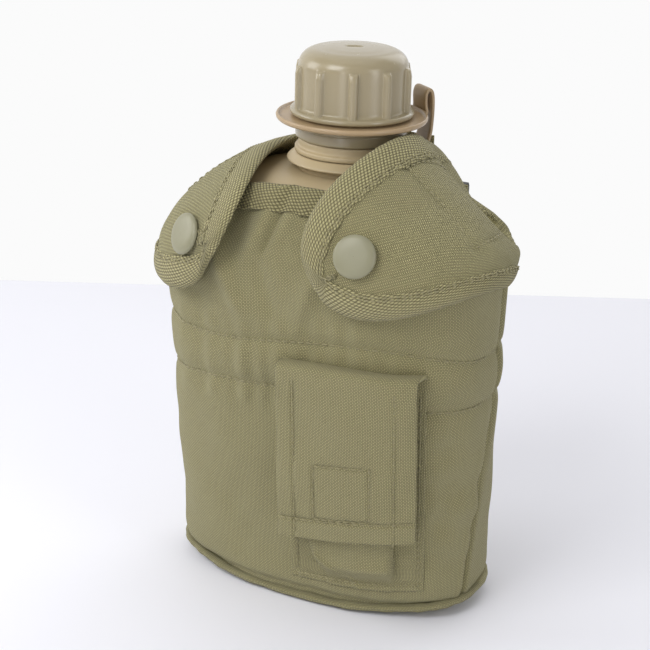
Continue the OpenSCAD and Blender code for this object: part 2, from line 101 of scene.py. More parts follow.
def linear(r, g, b):
    """An sRGB colour from 0 to 255 as linear RGBA."""
    def one(c):
        c = c / 255
        return c / 12.92 if c <= 0.04045 else ((c + 0.055) / 1.055) ** 2.4
    return (one(r), one(g), one(b), 1.0)


def area_light(name, steps, size, power):
    data = bpy.data.lights.new(name, "AREA")
    data.shape = "RECTANGLE"
    data.size, data.size_y = size
    data.energy = power
    light = bpy.data.objects.new(name, data)
    light.location = LIGHT_AIM + from_view(*steps)
    light.rotation_euler = (-from_view(*steps)).to_track_quat("-Z", "Y").to_euler()
    bpy.context.scene.collection.objects.link(light)


def make_studio():
    scene = bpy.context.scene
    scene.view_settings.view_transform = "Standard"
    world = bpy.data.worlds.new("studio")
    world.use_nodes = True
    background = world.node_tree.nodes["Background"]
    background.inputs["Color"].default_value = (1.0, 1.0, 1.0, 1.0)
    background.inputs["Strength"].default_value = WORLD_STRENGTH
    scene.world = world
    for light in LIGHTS:
        area_light(*light)


def plain_material(name, colour, roughness, specular, glow=None):
    """A material of one colour, which shines by itself where glow is a colour."""
    material = bpy.data.materials.new(name)
    material.use_nodes = True
    inputs = material.node_tree.nodes["Principled BSDF"].inputs
    inputs["Base Color"].default_value = colour
    inputs["Roughness"].default_value = roughness
    inputs["Specular IOR Level"].default_value = specular
    if glow:
        inputs["Emission Color"].default_value = glow
        inputs["Emission Strength"].default_value = 1.0
    return material


def four_corners(name, corners, material):
    """A flat sheet; its corners are steps right, back and up."""
    mesh = bpy.data.meshes.new(name)
    mesh.from_pydata([tuple(from_view(*c)) for c in corners], [], [(0, 1, 2, 3)])
    mesh.materials.append(material)
    made = bpy.data.objects.new(name, mesh)
    bpy.context.scene.collection.objects.link(made)
    return made


def make_floor():
    """A pale table that ends behind the object, in front of a white backdrop."""
    half, near, far = 3.0, -2.5, 0.34
    corners = (-half, near, 0), (half, near, 0), (half, far, 0), (-half, far, 0)
    floor = four_corners("floor", corners, plain_material("floor", linear(236, 236, 243), 0.5, 0.2))
    wide, back, low, high = 6.0, 2.5, -3, 4
    corners = (-wide, back, low), (wide, back, low), (wide, back, high), (-wide, back, high)
    shining = plain_material("backdrop", (0, 0, 0, 1), 1.0, 0.0, linear(251, 251, 251))
    backdrop = four_corners("backdrop", corners, shining)


# -------- materials

class Graph:
    """A short way to write a material's nodes."""
    def __init__(self, name):
        self.material = bpy.data.materials.new(name)
        self.material.use_nodes = True
        self.tree = self.material.node_tree
        self.shader = self.tree.nodes["Principled BSDF"]

    def node(self, kind, **inputs):
        made = self.tree.nodes.new(kind)
        for key, value in inputs.items():
            self.feed(made.inputs[key], value)
        return made

    def feed(self, socket, value):
        if isinstance(value, bpy.types.NodeSocket):
            self.tree.links.new(value, socket)
        else:
            socket.default_value = value

    def math(self, operation, *values):
        made = self.tree.nodes.new("ShaderNodeMath")
        made.operation = operation
        for socket, value in zip(made.inputs, values):
            self.feed(socket, value)
        return made.outputs[0]

    def times(self, a, b):
        return self.math("MULTIPLY", a, b)

    def clip(self, value):
        return self.math("MINIMUM", self.math("MAXIMUM", value, 0.0), 1.0)

    def mix(self, factor, a, b):
        made = self.tree.nodes.new("ShaderNodeMix")
        made.data_type = "RGBA"
        self.feed(made.inputs["Factor"], factor)
        self.feed(made.inputs["A"], a)
        self.feed(made.inputs["B"], b)
        return made.outputs["Result"]

    def noise(self, scale, detail=2.0, rough=0.5, stretch=None):
        place = self.tree.nodes.new("ShaderNodeTexCoord").outputs["Object"]
        if stretch:
            place = self.node("ShaderNodeMapping", Vector=place, Scale=stretch).outputs[0]
        made = self.node("ShaderNodeTexNoise", Vector=place, Scale=scale, Detail=detail, Roughness=rough)
        return made.outputs["Fac"]

    def uv(self):
        made = self.tree.nodes.new("ShaderNodeUVMap")
        made.uv_map = "cloth"
        split = self.node("ShaderNodeSeparateXYZ", Vector=made.outputs[0])
        return split.outputs[0], split.outputs[1]

    def bump(self, height, distance, strength=1.0):
        return self.node("ShaderNodeBump", Height=height, Distance=distance, Strength=strength).outputs[0]

    def finish(self, colour, roughness, normal, sheen=0.0, specular=0.5, coat=0.0):
        for name, value in (
                ("Base Color", colour), ("Roughness", roughness), ("Normal", normal),
                ("Sheen Weight", sheen), ("Sheen Roughness", 0.45), ("Specular IOR Level", specular),
                ("Coat Weight", coat), ("Coat Roughness", 0.2)):
            self.feed(self.shader.inputs[name], value)
        return self.material


def shaded(colour, part):
    return tuple(c * part for c in colour[:3]) + (1,)


def cloth_look(g, height, lit, light, dark, bump, fibre, cloud, wear, shade, roughness):
    """The rest of a cloth: stray fibres, worn clouds, the relief of its yarns, and colour from lit, which paints
    light and shade.
    """
    grain, grain_part = fibre
    lit = g.math("ADD", lit, g.times(g.math("SUBTRACT", g.noise(grain, 1.0), 0.5), grain_part))
    # painted light and shade: lit sets the colour from dark to light
    tone = g.mix(g.clip(lit), dark, light)
    worn = g.mix(g.times(g.noise(*cloud), wear), tone, shaded(light, shade))
    return g.finish(worn, roughness, g.bump(height, bump * MM, 0.9), sheen=0.12, specular=0.25)


def woven(name, light, dark, pitch, bump=0.3, thick=1.0):
    """Plain weave: two sets of yarns, pitch mm apart, that pass over and under each other. Its colour carries
    painted shade in the gaps between yarns and a painted sheen that makes the warp lighter where it lies on top.
    """
    g = Graph(name)
    u, v = g.uv()
    a = g.math("SINE", g.times(u, math.pi / pitch))
    b = g.math("SINE", g.times(v, math.pi / (pitch * thick)))
    over = g.clip(g.math("MULTIPLY_ADD", g.times(a, b), 3.0, 0.5))
    a = g.math("ABSOLUTE", a)
    b = g.math("ABSOLUTE", b)
    warp = g.times(g.math("POWER", a, 0.8), g.math("POWER", b, 0.3))
    weft = g.times(g.math("POWER", b, 0.8), g.math("POWER", a, 0.3))
    under = g.math("SUBTRACT", 1.0, over)
    height = g.math("ADD", g.times(warp, over), g.times(weft, under))
    # painted shade in the gaps between yarns, painted sheen where the warp lies on top (over)
    lit = g.times(g.math("MULTIPLY_ADD", over, 0.4, 0.6), height)
    return cloth_look(g, height, lit, light, dark, bump, (2600, 0.35), (28, 3.0), 0.30, 0.78, 0.78)


def ribbed_tape(name, light, dark, rib=1.5, slant=0.75, bump=0.42):
    """Binding tape: rows of raised knots along slanting ribs, with painted shade in the hollows between knots.
    """
    g = Graph(name)
    u, v = g.uv()
    diagonal = g.math("ADD", u, g.times(v, slant))
    crossing = g.math("SUBTRACT", v, g.times(u, slant * 0.3))
    a = g.math("ABSOLUTE", g.math("SINE", g.times(diagonal, math.pi / rib)))
    b = g.math("ABSOLUTE", g.math("SINE", g.times(crossing, math.pi / 1.2)))
    knots = g.times(g.math("POWER", a, 0.8), g.math("POWER", b, 0.8))
    # painted shade: knot height doubles as colour, darkening the hollows between knots
    return cloth_look(g, knots, knots, light, dark, bump, (2300, 0.4), (35, 2.0), 0.25, 0.8, 0.8)


def plastic(name, colour, roughness=0.38, speck=0.06, coat=0.0):
    """Moulded plastic: slight orange peel, rubbed gloss and faint mottling."""
    g = Graph(name)
    mottle = g.noise(60, 4.0, 0.6)
    rub = g.noise(420, 3.0, 0.6, (1, 1, 0.25))
    peel = g.noise(900, 2.0)
    tone = g.mix(mottle, shaded(colour, 1 - 2 * speck), colour)
    rough = g.math("MULTIPLY_ADD", rub, 0.16, roughness - 0.06)
    return g.finish(tone, rough, g.bump(peel, 0.05 * MM, 0.35), coat=coat)


def painted(name, colour, roughness=0.35):
    """Satin paint on pressed metal, with faint mottling and grainy gloss."""
    g = Graph(name)
    mottle = g.noise(160, 3.0)
    grain = g.noise(1500, 2.0)
    tone = g.mix(g.times(mottle, 0.35), colour, shaded(colour, 0.75))
    rough = g.math("MULTIPLY_ADD", grain, 0.15, roughness - 0.06)
    return g.finish(tone, rough, g.bump(grain, 0.02 * MM, 0.3))


def steel(name):
    g = Graph(name)
    cloud = g.noise(90, 4.0, 0.6)
    grain = g.noise(1800, 2.0)
    tone = g.mix(cloud, (0.018, 0.018, 0.017, 1), (0.06, 0.058, 0.052, 1))
    rough = g.math("MULTIPLY_ADD", grain, 0.2, 0.36)
    g.shader.inputs["Metallic"].default_value = 0.85
    return g.finish(tone, rough, g.bump(grain, 0.03 * MM, 0.4))


def fluffy(name, light, dark):
    """Deep pile: clumped tufts."""
    g = Graph(name)
    tuft = g.noise(650, 4.0, 0.7)
    cloud = g.noise(70, 2.0)
    tone = g.mix(tuft, dark, light)
    tone = g.mix(g.times(cloud, 0.3), tone, dark)
    return g.finish(tone, 0.95, g.bump(tuft, 0.9 * MM, 1.0), sheen=0.5, specular=0.1)


def thread_material(name, light, dark):
    g = Graph(name)
    twist = g.noise(3000, 1.0, 0.5, (1, 1, 3))
    return g.finish(g.mix(twist, dark, light), 0.6, g.bump(twist, 0.05 * MM, 0.5), sheen=0.2, specular=0.35)


# the second colour of fabric, webbing and binding is painted shade for the gaps between yarns or knots
FABRIC = woven("fabric", linear(199, 191, 141), linear(64, 58, 34), 0.62, 0.4)
FABRIC_POCKET = woven("fabric_pocket", linear(197, 189, 140), linear(65, 59, 35), 0.62, 0.4)
WEBBING = woven("webbing", linear(170, 163, 118), linear(90, 84, 54), 1.35, 0.4, 0.55)
BINDING = ribbed_tape("binding", linear(188, 180, 134), linear(72, 66, 41))
# a darker copy of the binding: painted shadow of the cap on the mouth tape
BINDING_PAINTED_SHADOW = ribbed_tape("binding_painted_shadow", linear(170, 162, 118), linear(62, 56, 35))
PILE = fluffy("pile", linear(118, 110, 82), linear(70, 64, 45))
THREAD = thread_material("thread", linear(168, 161, 122), linear(112, 105, 74))
BOTTLE_PLASTIC = plastic("bottle_plastic", linear(190, 172, 136), 0.42)
CAP_PLASTIC = plastic("cap_plastic", linear(157, 145, 116), 0.22, 0.04, 0.25)
STRAP_PLASTIC = plastic("strap_plastic", linear(170, 146, 112), 0.34, 0.05)
SNAP_PAINT = painted("snap_paint", linear(140, 137, 111))
STEEL = steel("keeper_steel")
RUBBER = plastic("gasket_rubber", linear(36, 36, 36), 0.7, 0.1)
TAPE_HOOK = fluffy("hook_tape", linear(120, 114, 82), linear(74, 69, 47))


# -------- mesh helpers

def smoothstep(x):
    x = np.clip(x, 0, 1)
    return x * x * (3 - 2 * x)


def ridge(x, centre, width):
    """A smooth bump of height 1 that is gone a few widths away."""
    return np.exp(-((x - centre) / width) ** 2)


def unit(v):
    """Vectors along the last axis, made one long."""
    return v / np.maximum(np.linalg.norm(v, axis=-1, keepdims=True), 1e-9)


def lengths(line):
    """How far along a line each of its points lies."""
    return np.concatenate([[0], np.cumsum(np.linalg.norm(np.diff(line, axis=0), axis=1))])


def full_turn(count):
    return np.linspace(0, 2 * np.pi, count, endpoint=False)


def mesh_object(name, points, faces, material, uv=None):
    """points in mm; uv is one (u, v) in mm for each corner of each face."""
    mesh = bpy.data.meshes.new(name)
    mesh.from_pydata((np.asarray(points, float).reshape(-1, 3) * MM).tolist(), [], faces)
    if uv is not None:
        layer = mesh.uv_layers.new(name="cloth")
        layer.data.foreach_set("uv", np.asarray(uv, np.float32).ravel())
    mesh.shade_smooth()
    mesh.materials.append(material)
    made = bpy.data.objects.new(name, mesh)
    bpy.context.scene.collection.objects.link(made)
    return made


def grid_faces(rows, cols, wrap_rows=False, wrap_cols=False):
    r = np.arange(rows if wrap_rows else rows - 1)[:, None]
    c = np.arange(cols if wrap_cols else cols - 1)[None, :]
    r1, c1 = (r + 1) % rows, (c + 1) % cols
    return np.stack([r * cols + c, r * cols + c1, r1 * cols + c1, r1 * cols + c], -1).reshape(-1, 4)


MIDDLE = np.array([0.0, -8.0, 90.0])  # a point inside the bottle, in mm


def faces_inward(points, faces, wrapped):
    """True if the faces of a closed form, or of a sheet round the bottle, point to its inside."""
    p = points.reshape(-1, 3)
    a, b, c, d = (p[faces[:, i]] for i in range(4))
    normal = np.cross(c - a, d - b)
    inside = p.mean(0) if wrapped else MIDDLE
    return float((normal * ((a + c) / 2 - inside)).sum()) < 0


def grid_object(name, points, material, uv=None, wrap_rows=False, wrap_cols=False, thick=0.0):
    """A sheet through a grid of points, in mm. uv has one row or column more where the grid wraps."""
    rows, cols = points.shape[:2]
    faces = grid_faces(rows, cols, wrap_rows, wrap_cols)
    corner_uv = None if uv is None else uv.reshape(-1, 2)[grid_faces(*uv.shape[:2])]
    if faces_inward(points, faces, wrap_rows or wrap_cols):
        faces = faces[:, ::-1]
        corner_uv = None if corner_uv is None else corner_uv[:, ::-1]
    made = mesh_object(name, points, faces.tolist(), material, corner_uv)
    if thick:
        shell = made.modifiers.new("thickness", "SOLIDIFY")
        shell.thickness = thick * MM
        shell.offset = -1
    return made


def cloth_uv(points, wrap=False):
    """Lengths across and along a grid, in mm, so that a weave keeps its scale everywhere."""
    if wrap:
        points = np.pad(points, ((0, 1), (0, 1), (0, 0)), "wrap")
    across = np.linalg.norm(np.diff(points, axis=1), axis=2)
    along = np.linalg.norm(np.diff(points, axis=0), axis=2)
    u = np.pad(np.cumsum(across, 1), ((0, 0), (1, 0)))
    v = np.pad(np.cumsum(along, 0), ((1, 0), (0, 0)))
    if not wrap:
        u = u - u[:, points.shape[1] // 2][:, None]
    return np.stack([u, v], -1)


def smooth_line(points, count):
    """A Catmull-Rom curve through points, resampled to even steps."""
    p = np.asarray(points, float)
    p = np.concatenate([2 * p[:1] - p[1:2], p, 2 * p[-1:] - p[-2:-1]])
    t = np.linspace(0, 1, 24, endpoint=False)[:, None]  # 24 steps between points
    line = []
    for a, b, c, d in zip(p[:-3], p[1:-2], p[2:-1], p[3:]):
        line.append(0.5 * (2 * b + (c - a) * t + (2 * a - 5 * b + 4 * c - d) * t ** 2
                           + (3 * b - a - 3 * c + d) * t ** 3))
    line = np.concatenate(line + [p[-2:-1]])
    s = lengths(line)
    even = np.linspace(0, s[-1], count)
    return np.stack([np.interp(even, s, line[:, i]) for i in range(line.shape[1])], 1)


def rounded(profile, passes=2):
    """Cuts the corners of an outline a little, keeping its ends."""
    p = np.asarray(profile, float)
    for _ in range(passes):
        q = np.empty((2 * len(p) - 2, 2))
        q[0::2] = 0.8 * p[:-1] + 0.2 * p[1:]
        q[1::2] = 0.2 * p[:-1] + 0.8 * p[1:]
        p = np.concatenate([p[:1], q, p[-1:]])
    return p


def lathe(name, profile, material, columns=256, change=None, closed=False):
    """Turns (r, z) points round Z; change(r, z, angle) may return new (r, z)."""
    profile = np.asarray(profile, float)
    r, angle = np.meshgrid(profile[:, 0], full_turn(columns), indexing="ij")
    z = np.repeat(profile[:, 1:], columns, 1)
    if change is not None:
        r, z = change(r, z, angle)
    points = np.stack([r * np.cos(angle), r * np.sin(angle), z], -1)
    return grid_object(name, points, material, wrap_cols=True, wrap_rows=closed)


def dense(profile, step):
    """Adds points along an outline so that none is further than step from the next."""
    p = np.asarray(profile, float)
    out = [p[:1]]
    for a, b in zip(p[:-1], p[1:]):
        n = max(1, int(math.ceil(np.linalg.norm(b - a) / step)))
        out.append(a + (b - a) * (np.arange(1, n + 1) / n)[:, None])
    return np.concatenate(out)


def ribbon(name, line, across, lift, half_width, half_thick, material, power, sides):
    """A flat strap swept along line: across and lift are unit vectors at each point."""
    a = full_turn(sides)
    x = half_width * np.sign(np.cos(a)) * np.abs(np.cos(a)) ** (2 / power)
    y = half_thick * np.sign(np.sin(a)) * np.abs(np.sin(a)) ** (2 / power)
    points = line[:, None] + across[:, None] * x[:, None] + lift[:, None] * y[:, None]
    caps = [line[0] + (points[0] - line[0]) * k for k in (0.0, 0.5)]
    ends = [line[-1] + (points[-1] - line[-1]) * k for k in (0.5, 0.0)]
    points = np.concatenate([caps, points, ends])
    run = lengths(line) + 0.5
    run = np.concatenate([[0, 0.5], run, [run[-1] + 0.5, run[-1] + 1.0]])
    uv = np.stack(np.meshgrid(np.append(x, x[0]), run), -1)
    return grid_object(name, points, material, uv, wrap_cols=True)


def stitches(name, lines, body, pitch, length, radius, wobble):
    """Sewing thread: a small rounded loop of thread for each stitch, along (points, normals) lines in mm."""
    ring, rows = 8, 7
    a = full_turn(ring)
    s = np.linspace(-1, 1, rows)
    fat = np.sqrt(np.maximum(1 - s ** 4, 0.0004))
    points, faces = [], []
    one = grid_faces(rows, ring, wrap_cols=True)
    for line, normal in lines:
        steps = lengths(line)
        for d in np.arange(pitch / 2, steps[-1], pitch):
            here, ahead, behind, n = (
                np.array([np.interp(at, steps, rows_of[:, i]) for i in range(3)])
                for at, rows_of in ((d, line), (d + 0.4, line), (d - 0.4, line), (d, normal)))
            n = unit(n)
            t = unit(ahead - behind)
            t = unit(t + np.cross(n, t) * rng.normal(0, wobble))
            side = np.cross(n, t)
            arch = 0.22 * (1 - s ** 2)
            centre = here + np.outer(s * length / 2, t) + np.outer(arch, n)
            loop = centre[:, None] + radius * fat[:, None, None] * (
                np.cos(a)[:, None] * side + 0.7 * np.sin(a)[:, None] * n)
            faces.append(one + len(points) * rows * ring)
            points.append(loop.reshape(-1, 3))
    made = mesh_object(name, np.concatenate(points), np.concatenate(faces).tolist(), THREAD)
    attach(made, body)
    return made


# -------- the outline shared with the CAD

CLOTH_BASE = 0.8
WALL = 1.4
OUTLINE_POWER = 2.75
BASE_ROUND = 10.0
TOP_HALF_W = 64.5
WALL_TOP = 138.0


def soft_pow(v):
    return np.sign(v) * np.abs(v) ** (2 / OUTLINE_POWER)


def half_w(z):
    return 63 + 5.0 * np.minimum(z, 150) / 150


def half_d(z):
    return 35.7 + 2.4 * np.minimum(z, 150) / 150


def centre_y(z):
    return -3 - 9.3 * z / 150


def base_inset(z):
    low = np.clip(BASE_ROUND - z, 0, BASE_ROUND)
    return BASE_ROUND - np.sqrt(BASE_ROUND ** 2 - low ** 2)


def corner_tuck(z, t):
    """How much rounder the outline's corners are close to the base."""
    return 4.0 * np.clip(1 - z / 20, 0, 1) ** 2 * np.sin(2 * t) ** 2


def section(z, t, off):
    drawn = off - base_inset(z) - corner_tuck(z, t)
    return np.stack([
        (half_w(z) + drawn) * soft_pow(np.cos(t)),
        (half_d(z) + drawn) * soft_pow(np.sin(t)) + centre_y(z),
        z + 0 * t], -1)


def front_y(x, z):
    inside = 1 - np.minimum(np.abs(x) / half_w(z), 0.999) ** OUTLINE_POWER
    return centre_y(z) - (half_d(z) - base_inset(z)) * inside ** (1 / OUTLINE_POWER)


def front_top(t, off=0.0):
    s = np.abs(np.sin(t))
    return np.stack([(TOP_HALF_W + off) * soft_pow(np.cos(t)),
                     -9 - (30 + off) * s ** 0.8,
                     147 + 25 * s ** 3], -1)


def back_top(t, off=0.0):
    s = np.abs(np.sin(t))
    dip = 7.5 * np.exp(-((np.degrees(np.arcsin(np.minimum(s, 1))) - 50) / 16) ** 2)
    return np.stack([(TOP_HALF_W + off) * soft_pow(np.cos(t)),
                     5.5 + (23.5 + off) * s ** 5,
                     147 + 27 * s ** 1.1 - dip], -1)


def wall(t, h, off, top):
    """The cover's wall at angle t; h runs 0 to 1 up the straight part and 1 to 2 over the shoulder."""
    z = CLOTH_BASE + (WALL_TOP - CLOTH_BASE) * np.clip(h, 0, 1)
    w = np.clip(h - 1, 0, 1)[..., None]
    low = section(z, t, off)
    high = top(t, off)
    return np.concatenate([low[..., :2] + (high[..., :2] - low[..., :2]) * w ** 2,
                           low[..., 2:] + (high[..., 2:] - low[..., 2:]) * w], -1)


def soft_noise(p, q, size, seed, waves=9, stretch=1.0):
    """Smooth irregular waves of height about 1, with crests about size apart."""
    draw = np.random.default_rng(seed)
    total = 0
    for _ in range(waves):
        angle = draw.uniform(0, 2 * np.pi)
        k = 2 * np.pi / (size * draw.uniform(0.7, 1.6))
        total += np.sin(k * (np.cos(angle) * p + stretch * np.sin(angle) * q) + draw.uniform(0, 6.28))
    return total / math.sqrt(waves)


def curve_through(x, xs, zs):
    return np.polyval(np.polyfit(xs, zs, len(xs) - 1), x)


# -------- bottle

BOTTLE_OFF = -4.2
BOTTLE_Z = 5.0
SHOULDER_Z = 132.0
NECK_Z = 171.0
NECK_R = 20.2
MOUTH_R = 15.0


def make_bottle():
    t = full_turn(160)
    rings = []
    base = section(BOTTLE_Z, t, BOTTLE_OFF)
    for k, z in ((0.0, 9.0), (0.35, 8.6), (0.6, 7.0), (0.75, 5.2), (0.86, 5.0)):
        ring = base * [k, k, 0]
        ring[:, 1] += (1 - k) * centre_y(BOTTLE_Z)
        rings.append(ring + [0, 0, z])
    for z in np.concatenate([np.linspace(BOTTLE_Z, 22, 12), np.linspace(28, SHOULDER_Z, 22)]):
        rings.append(section(z, t, BOTTLE_OFF))
    neck = np.stack([(NECK_R - 0.2) * np.cos(t), (NECK_R - 0.2) * np.sin(t), 0 * t], -1)
    low = section(SHOULDER_Z, t, BOTTLE_OFF)
    for s in np.linspace(0, 1, 26)[1:]:
        w = max(0.0, math.cos(math.pi / 2 * s)) ** 0.75
        ring = neck + (low - neck) * w
        ring[:, 2] = SHOULDER_Z + (NECK_Z - SHOULDER_Z) * math.sin(math.pi / 2 * s)
        rings.append(ring)
    body = grid_object("bottle_body", np.array(rings), BOTTLE_PLASTIC, wrap_cols=True)
    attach(body, "root")
    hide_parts("bottle")

    profile = [(NECK_R, 170), (NECK_R, 177.2), (21.3, 177.5), (21.6, 177.9), (21.6, 179.1), (21.3, 179.5),
               (NECK_R, 179.8), (NECK_R, 182.3), (19.8, 182.8), (17.6, 183.1), (17.2, 183.6), (17.2, 209.0),
               (16.8, 209.8), (16.1, 210.0), (15.4, 209.8), (MOUTH_R, 209.2), (MOUTH_R, 162), (15.4, 160)]

    def thread(r, z, angle):
        for turn in range(3):
            crest = 190.5 + 4.0 * (turn + angle / (2 * np.pi))
            gate = smoothstep((crest - 191) / 1.0) * smoothstep((199.5 - crest) / 1.0)
            r = r + 1.4 * smoothstep(1.6 - np.abs(z - crest) / 0.75) * gate * ((r > 16.9) & (z > 184))
        return r, z

    neck = lathe("bottle_neck", dense(rounded(profile, 1), 0.5), BOTTLE_PLASTIC, 160, thread)
    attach(neck, "root")


# -------- cap and strap

RIB_COUNT = 10
RIB_START = math.radians(-64.6)
RIB_LOW = 193.2
RIB_HIGH = 211.0
RIB_LIFT = 1.95
RIB_ROUND = 1.8
GRIP_R = 20.9
DENT_TURN = math.radians(25)


def rib_lift(r, z, angle):
    step = 2 * np.pi / RIB_COUNT
    off = (angle - RIB_START + step / 2) % step - step / 2
    across = np.clip(1 - (np.abs(off) * GRIP_R / 1.7) ** 2.6, 0, 1) ** 0.5
    over = np.clip((z - RIB_HIGH + RIB_ROUND) / RIB_ROUND, 0, 1)
    bar = across * smoothstep((z - RIB_LOW) / 0.6) * (1 - over ** 2) ** 0.5
    outer = r > 19.6
    return np.where(outer & (bar > 0.01), np.maximum(r, GRIP_R + RIB_LIFT * bar), r), z


def make_cap():
    dome = [(GRIP_R - 7.4 * (1 - math.cos(a)), 210.4 + 6.4 * math.sin(a))
            for a in np.linspace(0, math.pi / 2, 14)]
    outside = [(19.2, 183.2), (21.2, 183.2), (21.5, 183.6), (21.5, 187.0), (21.25, 187.15), (21.25, 187.5),
               (21.5, 187.65), (21.5, 189.1), (21.2, 189.4), (20.3, 189.5), (20.3, 191.9), (22.9, 192.0),
               (23.6, 192.3), (23.75, 193.0), (23.6, 193.7), (23.1, 194.1), (21.6, 194.4), (21.0, 195.0),
               (GRIP_R, 196.0)]
    top = [(10.0, 217.2), (5.0, 217.45), (0.2, 217.5)]
    outer = dense(rounded(outside + [(GRIP_R, 208.0)], 2), 0.35)
    crown = dense(dome + top, 0.45)
    profile = np.concatenate([outer, crown])

    def change(r, z, angle):
        r, z = rib_lift(r, z, angle)
        along, side = r * np.cos(angle - DENT_TURN), r * np.sin(angle - DENT_TURN)
        dent = smoothstep(2.2 - np.hypot(along / 2.0, side / 0.85) * 1.2) * (z > 215)
        return r, z - 1.0 * dent

    cap = lathe("cap_shell", profile, CAP_PLASTIC, 480, change)
    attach(cap, "screw_cap")
    inside = [(19.2, 183.2), (19.0, 183.6), (19.0, 210.0), (18.0, 212.2), (0.2, 212.25)]
    bore = lathe("cap_bore", dense(rounded(inside, 1), 1.0), CAP_PLASTIC, 120)
    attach(bore, "screw_cap")
    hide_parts("cap")

    ring = [(18.7, 210.3), (18.7, 212.1), (18.5, 212.2), (13.2, 212.2), (13.0, 212.0), (13.0, 210.5),
            (13.2, 210.3)]
    gasket = lathe("gasket_ring", ring, RUBBER, 96, closed=True)
    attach(gasket, "screw_cap")
    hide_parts("cap_gasket")


BAND_AZIMUTH = math.radians(52)
BAND_ROUTE = [(29.2, 190.2), (29.85, 190.9), (29.6, 194), (29.5, 197), (30.1, 199), (31.2, 199.4), (32.3, 198),
              (32.8, 194), (32.7, 187), (32, 181), (29.8, 176.8), (25.1, 174.6), (24.2, 174.5)]
BAND_HALF = 5.0
BAND_POINTS = 90


def make_strap():
    def closed_ring(name, outline, material):
        return lathe(name, dense(rounded(outline + outline[:1], 2)[:-1], 0.4), material, 200, closed=True)

    dish = [(20.75, 191.6), (20.75, 190.4), (21.3, 190.0), (25.0, 189.9), (28.2, 189.7), (28.9, 190.2),
            (29.1, 191.2), (28.7, 191.95), (28.0, 191.8), (27.5, 190.95), (26.5, 190.9), (22.0, 191.3),
            (21.4, 191.7)]
    ring = closed_ring("dish_ring", dish, STRAP_PLASTIC)
    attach(ring, "strap_ring")
    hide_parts("strap_cap_ring")

    cone = [(20.55, 177.0), (20.55, 174.2), (21.2, 173.9), (24.0, 173.9), (24.5, 174.4), (24.3, 175.0),
            (21.9, 176.9), (21.2, 177.2)]
    low = closed_ring("neck_ring", cone, BOTTLE_PLASTIC)
    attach(low, "root")
    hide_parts("strap_neck_ring")

    route = smooth_line(BAND_ROUTE, BAND_POINTS)
    out = np.array([math.cos(BAND_AZIMUTH), math.sin(BAND_AZIMUTH), 0])
    across = np.array([-math.sin(BAND_AZIMUTH), math.cos(BAND_AZIMUTH), 0])
    line = route[:, :1] * out + route[:, 1:] * np.array([0, 0, 1])
    side = np.tile(across, (len(line), 1))
    lift = np.cross(side, unit(np.gradient(line, axis=0)))
    step = np.arange(BAND_POINTS)
    wide = 1 + 0.14 * (1 - smoothstep(np.minimum(step, BAND_POINTS - 1 - step) / 8))
    band = ribbon("strap_loop", line, side * wide[:, None], lift, BAND_HALF, 0.75, STRAP_PLASTIC, 6, 28)
    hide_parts("strap_band")
    high, low = line[0] * MM, line[-1] * MM
    tuple(high)
    tuple(low)
    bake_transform(band)


# -------- cover panels

SEAM_LINE_UPPER = ((-47, 3, 29, 68), (110, 114.5, 116.6, 110))
SEAM_LINE_LOWER = ((-55, -8, 67), (90, 94, 91))


def side_seam(z):
    """Angle of the right side seam, which slants forward towards the base."""
    return np.radians(-14.5 + 18.5 * np.clip((z - 5) / 85, 0, 1))


def panel_height(h):
    return CLOTH_BASE + (WALL_TOP - CLOTH_BASE) * np.minimum(h, 1) + 34 * np.maximum(h - 1, 0)


def quilt_lines(x, front):
    if not front:
        return 111 + 0 * x, 91 + 0 * x
    return curve_through(x, *SEAM_LINE_UPPER), curve_through(x, *SEAM_LINE_LOWER)


def mouth_crease(x, z):
    """How far to the right of the mouth's slanting crease a point lies."""
    return x + 8 - 0.35 * (z - 160)


def relief(x, z, front, seam_gap):
    """How far the quilted cloth stands off the plain outline, in mm."""
    upper, lower = quilt_lines(x, front)
    calm = smoothstep(seam_gap / 16)
    lift = 0.25 + 0.3 * calm * soft_noise(x, z, 34, 3 if front else 4)
    lift += 0.16 * calm * soft_noise(x, z, 13, 5, stretch=0.6)
    for line in (upper, lower):
        d = z - line
        lift = lift - 1.0 * ridge(d, 0, 1.7) - 0.5 * ridge(d, 0, 5.5)
        ripple = 0.42 * soft_noise(x, 0 * x, 9, 11 if front else 12, 5)
        lift += ripple * calm * (ridge(d, 5, 4.5) + ridge(d, -5, 4.5))
    lift += 0.7 * ridge(z, (upper + lower) / 2, 8)
    lift = lift - 1.7 * ridge(seam_gap, 0, 1.5) + 0.6 * ridge(seam_gap, 4, 3)
    lift = lift - 1.1 * ridge(z, 6.5, 1.5) + 0.5 * ridge(z, 12, 5)
    if front:
        rise = smoothstep((z - 138) / 16)
        crease = mouth_crease(x, z)
        lift -= 2.0 * ridge(crease, 0, 1.1) * smoothstep((z - 144) / 8)
        for height, centre, width in ((2.2, -5, 3.5), (0.8, 4, 3), (-1.4, -15, 5)):
            lift += rise * height * ridge(crease, centre, width)
        lift += 2.4 * ridge(x + 0.5 * (z - 120), -20, 4.5) * smoothstep((z - 116) / 12)
        lift += 1.8 * ridge(x - 0.35 * (z - 125), 4, 4) * smoothstep((z - 120) / 10) * (1 - rise)
        lift -= 1.3 * ridge(x + 0.3 * (z - 120), -7, 4) * smoothstep((z - 118) / 10) * (1 - rise)
        low_right = smoothstep((x - 50) / 5) * smoothstep((88 - z) / 10) * smoothstep((z - 12) / 15)
        lift += 0.6 * soft_noise(x, z, 13, 21, stretch=0.8) * low_right
        left_side = smoothstep((-x - 30) / 20) * smoothstep((z - 116) / 10)
        lift += 0.5 * soft_noise(x, z, 16, 22) * left_side
    return np.maximum(lift, -1.1)


